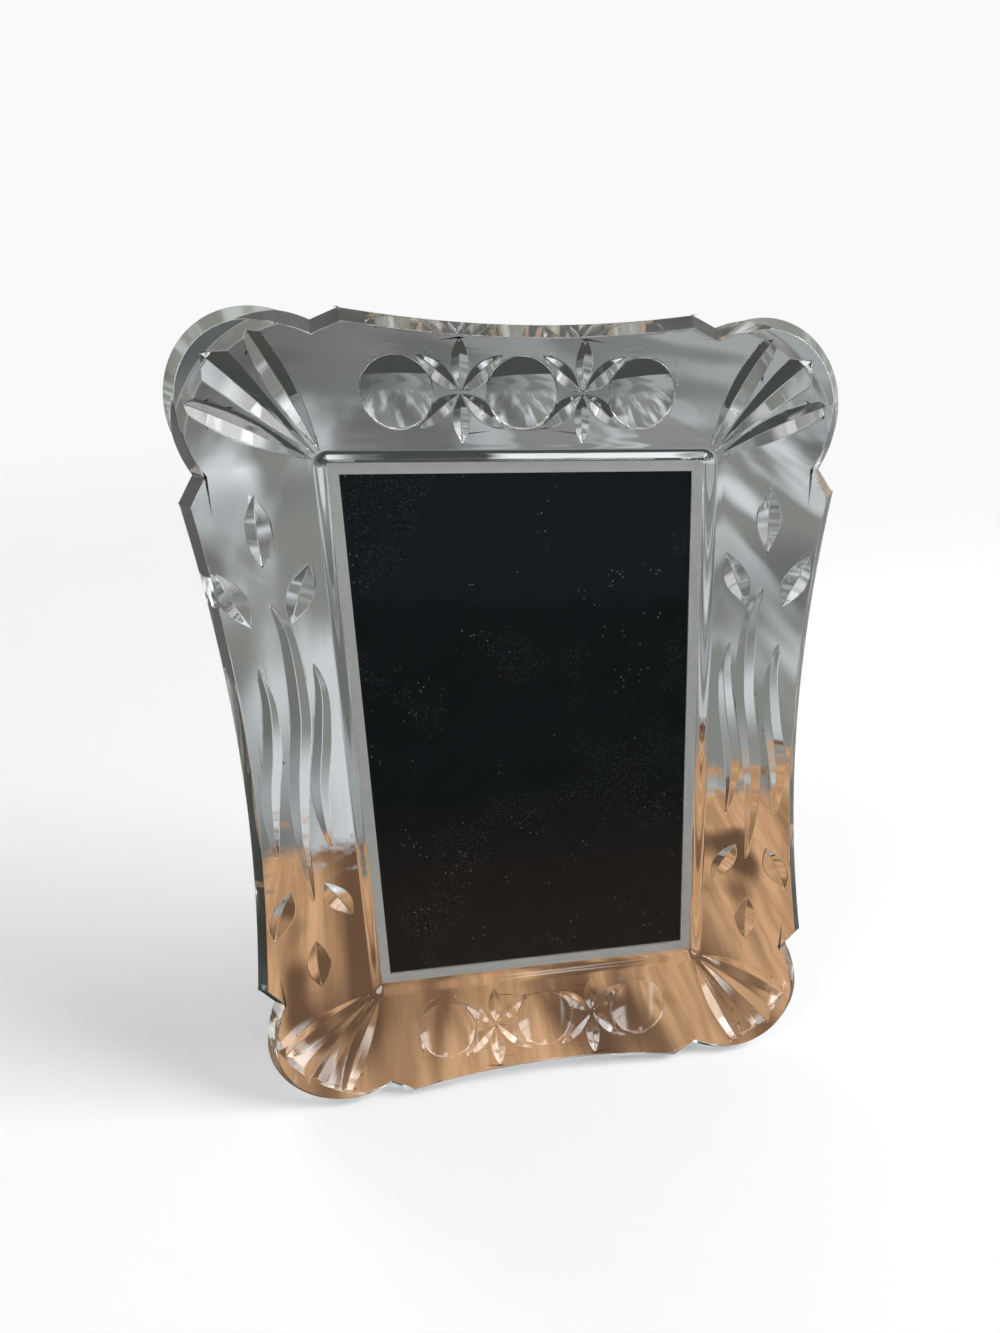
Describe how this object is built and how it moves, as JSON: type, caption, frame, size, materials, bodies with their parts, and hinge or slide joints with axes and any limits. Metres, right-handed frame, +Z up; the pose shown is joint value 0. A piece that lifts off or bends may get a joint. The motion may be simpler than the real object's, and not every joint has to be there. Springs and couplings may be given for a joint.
{
  "type": "picture frame",
  "caption": "Standing picture frame of clear cut glass, scalloped and dished, with a recessed window, a black flocked back and a folding easel leg.",
  "frame": {"origin": "centre of the bounding box on the floor that the frame stands on", "axes": "+Z up, +X to the right seen from the front, the window faces -Y and leans back 10 degrees"},
  "size_m": [0.176, 0.0786, 0.2274],
  "materials": {
    "glass": "polished cut crystal",
    "liner": "satin strip with a grainy bond line",
    "card": "black, smooth",
    "board": "dark hardboard",
    "flock": "black flock",
    "leg_board": "black pressed board",
    "hinge": "brassed steel",
    "button": "nickelled steel",
    "steel": "plain steel"
  },
  "bodies": {
    "frame": {"glass_body": "glass", "liner_top": "liner", "liner_bottom": "liner", "liner_left": "liner", "liner_right": "liner", "display_card": "card", "back_board": "board", "back_cloth": "flock", "hinge_plate": "hinge", "hinge_plate_rivets": "hinge", "hinge_pin": "steel", "button_rivets": "steel"},
    "leg": {"hinge_leaf": "hinge", "hinge_leaf_rivets": "hinge", "easel_leg": "leg_board", "leg_cloth": "flock"},
    "button_left": {"turn_button_left": "button"},
    "button_right": {"turn_button_right": "button"}
  },
  "joints": [
    {"name": "leg_hinge", "type": "hinge", "parent": "frame", "child": "leg", "pos_m": [0, 0.00526, 0.13029], "axis": [-1, 0, 0], "range_deg": [0, 24]},
    {"name": "button_left_turn", "type": "hinge", "parent": "frame", "child": "button_left", "pos_m": [-0.044, 0.0005, 0.11082], "axis": [0, -0.9848, 0.1736], "continuous": true},
    {"name": "button_right_turn", "type": "hinge", "parent": "frame", "child": "button_right", "pos_m": [0.044, 0.0005, 0.11082], "axis": [0, -0.9848, 0.1736], "continuous": true}
  ]
}
